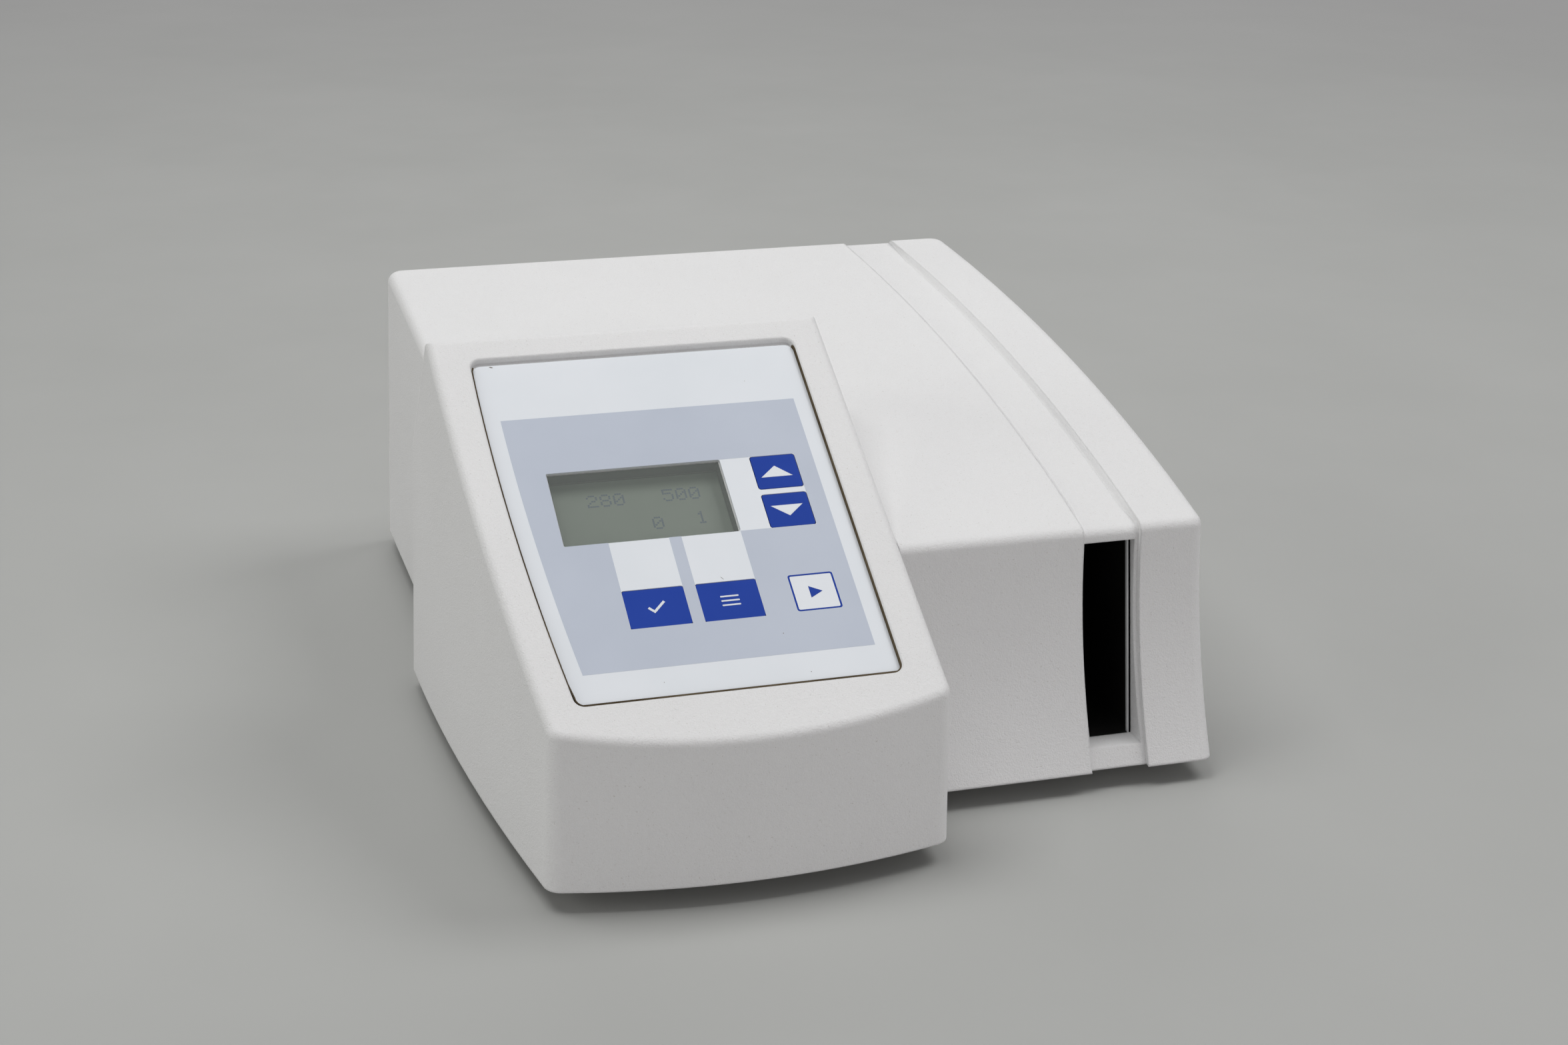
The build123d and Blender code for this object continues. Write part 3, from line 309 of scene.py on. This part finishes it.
ALUMINIUM = metal("sink_aluminium", (0.62, 0.63, 0.65), (0.52, 0.53, 0.55), 0.4)
BRASS = metal("brass", (0.66, 0.47, 0.18), (0.56, 0.39, 0.14), 0.3)
GOLD = metal("plated_pin", (0.80, 0.58, 0.22), (0.72, 0.50, 0.18), 0.22)
DISPLAY_METAL = metal("display_metal", (0.30, 0.30, 0.28), (0.24, 0.24, 0.22), 0.45)
BOARD = board_material()
DISPLAY = display_material()
WINDOW = window_material()

FINISH = {
    "main_cover": HOUSING, "console_housing": HOUSING, "front_label": LABEL,
    "display_window": WINDOW, "display_frame": DISPLAY_METAL, "display_glass": DISPLAY,
    "set_key": KEY_BLUE, "mode_key": KEY_BLUE, "up_key": KEY_BLUE, "down_key": KEY_BLUE,
    "start_key": KEY_WHITE, "key_board": BOARD, "pulse_board": BOARD, "control_board": BOARD,
    "board_pillars": BRASS, "pulse_standoffs": BRASS, "control_standoffs": BRASS, "earth_stud": BRASS,
    "chute_liner": BLACK, "guide_strip": FRAME, "contact_block": BLACK, "lower_pin": GOLD, "upper_pin": GOLD,
    "insert_plunger": PLUNGER, "mains_inlet": GLOSS_BLACK, "fuse_drawer": GLOSS_BLACK,
    "switch_frame": GLOSS_BLACK, "power_rocker": GLOSS_BLACK, "controller_chip": GLOSS_BLACK,
    "pulse_relay": GLOSS_BLACK, "base_plate": PLATE, "rear_panel": PLATE, "base_screws": STEEL,
    "rear_panel_screws": STEEL, "inlet_pins": STEEL, "serial_port": STEEL,
    "transformer_core": LAMINATIONS, "transformer_winding": AMBER, "heat_sink": ALUMINIUM,
    "upper_lead": RED, "lower_lead": GLOSS_BLACK, "ribbon_cable": RIBBON,
}


def finish_of(name):
    """A CAD node's material: its own, or that of its family."""
    if name.startswith("rubber_foot"):
        return RUBBER
    if name.startswith("capacitor"):
        return SLEEVE
    if name.endswith("_switch"):
        return GLOSS_BLACK
    return FINISH[name]


for name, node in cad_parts.items():
    node.data.materials.clear()
    node.data.materials.append(finish_of(name))


# ------------------------------------------------------------ new pieces
def add_piece(name, mesh, material, body):
    """Shows a mesh as a piece that moves with a CAD body."""
    mesh.materials.append(material)
    piece = bpy.data.objects.new(name, mesh)
    bpy.context.scene.collection.objects.link(piece)
    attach(piece, body)


def mesh_of(name, vertices, faces):
    """A new mesh."""
    mesh = bpy.data.meshes.new(name)
    mesh.from_pydata(vertices, [], faces)
    return mesh


def surface_of(node):
    """A CAD node's surface at rest, to cast rays at."""
    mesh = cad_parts[node].data
    return BVHTree.FromPolygons([v.co for v in mesh.vertices], [p.vertices[:] for p in mesh.polygons])


def panel_matrix(lift):
    """Sheet units are millimetres right of and above the display's corner."""
    turn = Matrix((PANEL_RIGHT * MM, PANEL_UP * MM, PANEL_NORMAL * MM)).transposed().to_4x4()
    return Matrix.Translation(PANEL_AT + PANEL_NORMAL * lift) @ turn


def film(name, outline, holes, material, body, lift=PRINT_LIFT, thick=PRINT_THICK):
    """A flat patch on the panel. Its points, (right, down), and thick are in millimetres, lift in metres."""
    curve = bpy.data.curves.new(name, "CURVE")
    curve.dimensions = "2D"
    curve.fill_mode = "BOTH"
    curve.extrude = thick / 2
    for loop in [outline, *holes]:
        spline = curve.splines.new("POLY")
        spline.points.add(len(loop) - 1)
        spline.use_cyclic_u = True
        for point, (right, down) in zip(spline.points, loop):
            point.co = (right, -down, 0, 1)
    raw = bpy.data.objects.new(name + "_curve", curve)
    mesh = bpy.data.meshes.new_from_object(raw)
    bpy.data.objects.remove(raw)
    mesh.transform(panel_matrix(lift))
    add_piece(name, mesh, material, body)


# ------------------------------------------------------------ printed film
def quarter(cx, cy, r, start, steps=ARC_STEPS):
    """A quarter circle's points from the angle start, in degrees."""
    turns = [radians(start + 90 * step / steps) for step in range(steps + 1)]
    return [(cx + r * cos(turn), cy + r * sin(turn)) for turn in turns]


def rounded(left, top, w, h, r, inset=0.0):
    """A rounded rectangle's points, with its straight sides moved in by inset."""
    near, far = left + inset + r, left + w - inset - r
    upper, lower = top + inset + r, top + h - inset - r
    corners = ((far, upper, -90), (far, lower, 0), (near, lower, 90), (near, upper, 180))
    return [point for cx, cy, start in corners for point in quarter(cx, cy, r, start)]


def bowed_left(down):
    """The label's bowed left edge."""
    return LABEL_LEFT + LABEL_LEFT_R - sqrt(LABEL_LEFT_R**2 - (down - LABEL_LEFT_APEX) ** 2)


def label_outline(grow):
    """The label's edge, moved out by grow, with rounded corners."""
    r = LABEL_CORNER_R + grow
    upper, lower, far = LABEL_TOP - grow + r, LABEL_BOTTOM + grow - r, LABEL_RIGHT + grow - r
    near_lower = bowed_left(LABEL_BOTTOM + grow) - grow + r
    near_upper = bowed_left(LABEL_TOP - grow) - grow + r
    rows = 24
    points = quarter(far, upper, r, -90, LABEL_ARC_STEPS) + quarter(far, lower, r, 0, LABEL_ARC_STEPS)
    points += quarter(near_lower, lower, r, 90, LABEL_ARC_STEPS)
    for row in range(1, rows):
        down = lower + (upper - lower) * row / rows
        points.append((bowed_left(down) - grow, down))
    return points + quarter(near_upper, upper, r, 180, LABEL_ARC_STEPS)


def label_gap():
    """Old dirt and painted shade in the gap down both sides of the label and along its foot, up to the rim:
    a dark brown fill that stands in for the gap's shade as well as its dirt.
    """
    half_corner = LABEL_ARC_STEPS // 2 + 1
    below_top = slice(half_corner, -half_corner)
    outer = label_outline(GAP_W)[below_top]
    foot = LABEL_BOTTOM - GAP_LAP
    inner = [(right, min(down, foot)) for right, down in label_outline(0.0)[below_top]]
    film("grime_and_shade_label_gap", outer + inner[::-1], [], GRIME_AND_GAP_SHADE, "housing",
         GAP_MIDDLE * MM, GAP_THICK)


def display_surround_and_shade():
    """Gasket between the window and the display's metal frame; its near-black is partly painted shade,
    standing in for the shadow inside the display's recess.
    """
    outer = rounded(0, 0, DISPLAY_W, DISPLAY_H, GASKET_OUTER_R, GASKET_OUTER)
    inner = rounded(0, 0, DISPLAY_W, DISPLAY_H, GASKET_INNER_R, GASKET_INNER)
    film("display_surround_and_shade", outer, [inner], SURROUND_AND_SHADE, "housing",
         GASKET_MIDDLE * MM, GASKET_THICK)


def grey_field():
    """The grey field, bare round the display and the keys, with a left edge beside the label's."""
    rows = 24
    edge = [FIELD_TOP + (FIELD_BOTTOM - FIELD_TOP) * row / rows for row in range(rows + 1)]
    outline = [(FIELD_RIGHT, FIELD_TOP), (FIELD_RIGHT, FIELD_BOTTOM)]
    outline += [(bowed_left(down) + FIELD_MARGIN, down) for down in reversed(edge)]
    bare = [(0, 0), (WHITE_RIGHT, 0), (WHITE_RIGHT, WHITE_FOOT)]
    for key in ("mode_key", "set_key"):
        left, top, w, h = KEYS[key]
        bare += [(left + w, WHITE_FOOT), (left + w, top + h), (left, top + h), (left, WHITE_FOOT)]
    bare.append((0, WHITE_FOOT))
    start = rounded(*KEYS["start_key"], START_R)
    film("print_field", outline, [bare, start], FIELD, "housing")


def sign(name, key, points, material=KEY_WHITE):
    """A plain sign that moves with its key. Points are from the key's centre."""
    left, top, w, h = KEYS[key]
    outline = [(left + w / 2 + across, top + h / 2 + down) for across, down in points]
    film(name, outline, [], material, key)


def key_marks():
    """Two arrows, a triangle in an outline, three bars and a tick."""
    sign("mark_up", "up_key", [(-0.2, -2.5), (5.05, 2.1), (-5.65, 2.1)])
    sign("mark_down", "down_key", [(-5.55, -2.05), (5.25, -2.05), (-0.05, 2.45)])
    outer = rounded(*KEYS["start_key"], START_R)
    inner = rounded(*KEYS["start_key"], START_INNER_R, START_LINE)
    film("mark_start_line", outer, [inner], KEY_BLUE, "start_key")
    sign("mark_start", "start_key", [(-1.7, -2.3), (2.5, 0), (-1.7, 2.3)], KEY_BLUE)
    bar_w, bar_h, bar_r, bar_pitch = 6, 0.6, 0.28, 1.7
    for row in (1, 2, 3):
        top = (row - 2) * bar_pitch - bar_h / 2
        sign(f"mark_mode_{row}", "mode_key", rounded(-bar_w / 2, top, bar_w, bar_h, bar_r))
    sign("mark_set", "set_key", [(-3, 0.1), (-2.4, -0.5), (-1, 0.9), (2.4, -2.5), (3, -1.9), (-1, 2.1)])


grey_field()
label_gap()
display_surround_and_shade()
key_marks()


# ------------------------------------------------------------ channel and wear
def soft_crease(name, wall_x, ridge_x):
    """A smooth ramp from the channel's floor to its side, along a bowed wall. It thins out at both ends."""
    cover = surface_of("main_cover")
    stations, rear_stations, front_stations, steps = 90, 8, 5, 10
    side = 1 if ridge_x > CHANNEL_X else -1
    vertices = []
    for i in range(stations + 1):
        y = CREASE_REAR_Y + (CREASE_FRONT_Y - CREASE_REAR_Y) * i / stations
        floor_z, ridge_z = (cover.ray_cast((x, y, ABOVE_ALL), (0, 0, -1))[0].z for x in (CHANNEL_X, ridge_x))
        wall = wall_x - WALL_CURVE * (y - WALL_APEX_Y) ** 2
        share = min(1, CREASE_END + i / rear_stations, CREASE_END + (stations - i) / front_stations)
        for step in range(steps + 1):
            s = step / steps
            rise = s * s * (3 - 2 * s)
            x = wall + side * (CREASE_OUT - (CREASE_OUT + CREASE_IN) * share * (1 - s))
            vertices.append((x, y, floor_z + (ridge_z - floor_z) * rise + PRINT_LIFT))
    row = steps + 1
    faces = []
    for i in range(stations):
        for a in range(i * row, i * row + steps):
            faces.append((a, a + 1, a + 1 + row, a + row)[::side])
    mesh = mesh_of(name, vertices, faces)
    for polygon in mesh.polygons:
        polygon.use_smooth = True
    add_piece(name, mesh, HOUSING, "housing")


def wear_marks():
    """Small scratches and specks: right, down, length, width and turn, in millimetres and degrees."""
    marks = (
        (-9.2, -47.2, 1.3, 0.5, 20), (46.9, 48.0, 1.5, 0.16, 55), (61.0, 71.5, 0.4, 0.35, 0),
        (66.0, 86.9, 0.35, 0.3, 40), (20.0, 85.0, 0.3, 0.25, 10), (74.0, -33.0, 0.25, 0.2, 70),
    )
    shape = ((-0.5, 0), (-0.2, -0.45), (0.3, -0.4), (0.5, 0.1), (0.1, 0.5), (-0.3, 0.35))
    for place, (right, down, length, width, turn) in enumerate(marks):
        c, s = cos(radians(turn)), sin(radians(turn))
        points = [(x * length, y * width) for x, y in shape]
        outline = [(right + c * x - s * y, down + s * x + c * y) for x, y in points]
        film(f"wear_mark_{place + 1}", outline, [], WEAR, "housing", WEAR_LIFT)


def rocker_marks():
    """The plain on and off signs, laid on the rocker's face in flat patches of four corners."""
    face = surface_of("power_rocker")
    low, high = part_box("power_rocker")
    x, z = (low.x + high.x) / 2, (low.z + high.z) / 2
    behind = high.y + 10 * MM
    w = BAR_HALF_W
    bar = [((w, BAR_LOW), (w, BAR_HIGH), (-w, BAR_HIGH), (-w, BAR_LOW))]
    ring = []
    for degrees in range(0, 360, RING_STEP):
        turns = [radians(degrees), radians(degrees + RING_STEP)]
        inner, outer = ([(r * cos(t), r * sin(t) - RING_DOWN) for t in turns] for r in (RING_HOLE_R, RING_R))
        ring.append((inner[0], outer[0], outer[1], inner[1]))
    for name, quads in (("mark_on", bar), ("mark_off", ring)):
        vertices = []
        for across, up in (point for quad in quads for point in quad):
            start = (x + across * MM, behind, z + up * MM)
            vertices.append(face.ray_cast(start, (0, -1, 0))[0] + Vector((0, PRINT_LIFT, 0)))
        faces = [(4 * i + 3, 4 * i + 2, 4 * i + 1, 4 * i) for i in range(len(quads))]
        add_piece(name, mesh_of(name, vertices, faces), KEY_WHITE, "power_rocker")


soft_crease("crease_right", RIGHT_WALL_X, RIGHT_RIDGE_X)
soft_crease("crease_left", LEFT_WALL_X, LEFT_RIDGE_X)
wear_marks()
rocker_marks()


# ------------------------------------------------------------ display digits
DIGITS = {
    "0": ("01110", "10001", "10011", "10101", "11001", "10001", "01110"),
    "1": ("00100", "01100", "00100", "00100", "00100", "00100", "01110"),
    "2": ("01110", "10001", "00001", "00110", "01000", "10000", "11111"),
    "5": ("11111", "10000", "11110", "00001", "00001", "10001", "01110"),
    "8": ("01110", "10001", "10001", "01110", "10001", "10001", "01110"),
}
# left, top and digits
READINGS = ((12.4, 6.2, "280"), (37.4, 6.2, "500"), (31.8, 17.2, "0"), (46.4, 16.4, "1"))


def lit_dots():
    """Where a dot of the readings is lit: right and down, in millimetres."""
    for left, top, text in READINGS:
        for place, digit in enumerate(text):
            for row, line in enumerate(DIGITS[digit]):
                for column, lit in enumerate(line):
                    if lit == "1":
                        yield left + (place * DIGIT_COLUMNS + column) * DOT_PITCH, top + row * DOT_PITCH


def display_digits():
    """Plain dot-matrix digits on the display glass."""
    vertices = []
    faces = []
    for x, down in lit_dots():
        first = len(vertices)
        vertices += [(x, -down, 0), (x + DOT, -down, 0), (x + DOT, DOT - down, 0), (x, DOT - down, 0)]
        faces.append((first, first + 1, first + 2, first + 3))
    mesh = mesh_of("display_digits", vertices, faces)
    mesh.transform(panel_matrix(PRINT_LIFT - DISPLAY_DEPTH * MM))
    add_piece("display_digits", mesh, INK, "housing")


display_digits()


# ------------------------------------------------------------ floor, lights, camera
BACKDROP = (0.37, 0.36, 0.37)
FLOOR_REACH = 6.0                       # half of its side
FADE_FROM, FADE_TO = 0.7, 2.8           # where the floor turns into the backdrop
WORLD_COLOUR, WORLD_STRENGTH = (0.80, 0.80, 0.82), 0.21
# the photo's point of view, solved from the housing's straight edges
EYE = (-0.25375, -0.8187, 0.4009)
EYE_AHEAD = Vector((0.27992, 0.88531, -0.37131)).normalized()
EYE_RIGHT = Vector((0.956, -0.29243, 0.02344))
LENS_MM, SENSOR_MM = 59.5, 36.0
LAMPS_AIM = Vector((0, 0, 0.05))
LAMPS = (                               # name, place, size, power and tint
    ("overhead_left", (-0.55, 0.17, 1.85), (0.9, 1.1), 14.6, (1, 1, 1)),
    ("overhead_right", (1.1, 0.09, 1.75), (0.9, 1.0), 13.1, (1, 1, 1)),
    ("left_fill", (-1.9, -0.1, 0.75), (1.4, 1.1), 8.4, (1, 1, 0.96)),
    ("right_fill", (1.2, -1.8, 0.55), (1.6, 0.7), 8, (1, 0.96, 0.97)),
    ("front_fill", (-0.9, -2.0, 0.55), (1.4, 0.7), 3, (1, 0.96, 0.97)),
    ("rear_fill", (0.5, 2.0, 1.2), (1.6, 0.8), 5, (1, 1, 1)),
)


def floor_material():
    """Pale grey, which turns into the backdrop's plain colour far away."""
    m = Nodes("floor_pale")
    m.colour(m.mix(m.ramp(m.noise(6, 4), 0.3, 0.7), (0.425, 0.43, 0.415), (0.405, 0.41, 0.395)))
    m.rough(m.ramp(m.noise(20, 3), 0.3, 0.7, 0.62, 0.72))
    backdrop = m.add("ShaderNodeEmission")
    backdrop.inputs["Color"].default_value = (*BACKDROP, 1)
    away = m.add("ShaderNodeVectorMath", operation="LENGTH")
    m.link(m.place, away.inputs[0])
    far = m.ramp(away.outputs["Value"], FADE_FROM, FADE_TO, kind="SMOOTHSTEP")
    fade = m.add("ShaderNodeMixShader")
    m.link(m.times(far, seen_by(m.tree)), fade.inputs[0])
    m.link(m.shader.outputs[0], fade.inputs[1])
    m.link(backdrop.outputs[0], fade.inputs[2])
    m.link(fade.outputs[0], m.tree.nodes["Material Output"].inputs["Surface"])
    return m.material


def floor():
    """A square floor round the object."""
    corners = [(x * FLOOR_REACH, y * FLOOR_REACH, 0) for x, y in ((-1, -1), (1, -1), (1, 1), (-1, 1))]
    mesh = mesh_of("floor", corners, [(0, 1, 2, 3)])
    mesh.materials.append(floor_material())
    piece = bpy.data.objects.new("floor", mesh)
    bpy.context.scene.collection.objects.link(piece)


def world_light():
    """Even light from all round, which the camera sees as the backdrop's colour."""
    world = bpy.data.worlds.new("studio")
    bpy.context.scene.world = world
    world.use_nodes = True
    tree = world.node_tree
    light = tree.nodes["Background"]
    light.inputs["Color"].default_value = (*WORLD_COLOUR, 1)
    light.inputs["Strength"].default_value = WORLD_STRENGTH
    backdrop = tree.nodes.new("ShaderNodeBackground")
    backdrop.inputs["Color"].default_value = (*BACKDROP, 1)
    backdrop.inputs["Strength"].default_value = 1.0
    mix = tree.nodes.new("ShaderNodeMixShader")
    tree.links.new(seen_by(tree), mix.inputs[0])
    tree.links.new(light.outputs[0], mix.inputs[1])
    tree.links.new(backdrop.outputs[0], mix.inputs[2])
    tree.links.new(mix.outputs[0], tree.nodes["World Output"].inputs[0])


def camera():
    """The photo's point of view."""
    data = bpy.data.cameras.new("camera")
    data.sensor_fit = "HORIZONTAL"
    data.sensor_width = SENSOR_MM
    data.lens = LENS_MM
    data.clip_start = 0.05
    data.clip_end = 50
    right = (EYE_RIGHT - EYE_AHEAD * EYE_RIGHT.dot(EYE_AHEAD)).normalized()
    turn = Matrix((right, right.cross(EYE_AHEAD), -EYE_AHEAD)).transposed().to_4x4()
    eye = bpy.data.objects.new("camera", data)
    eye.matrix_world = Matrix.Translation(EYE) @ turn
    bpy.context.scene.collection.objects.link(eye)
    bpy.context.scene.camera = eye


def area_light(name, at, size, power, tint):
    """A soft lamp, turned to the object."""
    data = bpy.data.lights.new(name, "AREA")
    data.shape = "RECTANGLE"
    data.size, data.size_y = size
    data.energy = power
    data.color = tint
    lamp = bpy.data.objects.new(name, data)
    lamp.location = at
    lamp.rotation_euler = (LAMPS_AIM - Vector(at)).to_track_quat("-Z", "Y").to_euler()
    bpy.context.scene.collection.objects.link(lamp)


floor()
world_light()
camera()
for lamp in LAMPS:
    area_light(*lamp)
bpy.context.scene.view_settings.view_transform = "Standard"
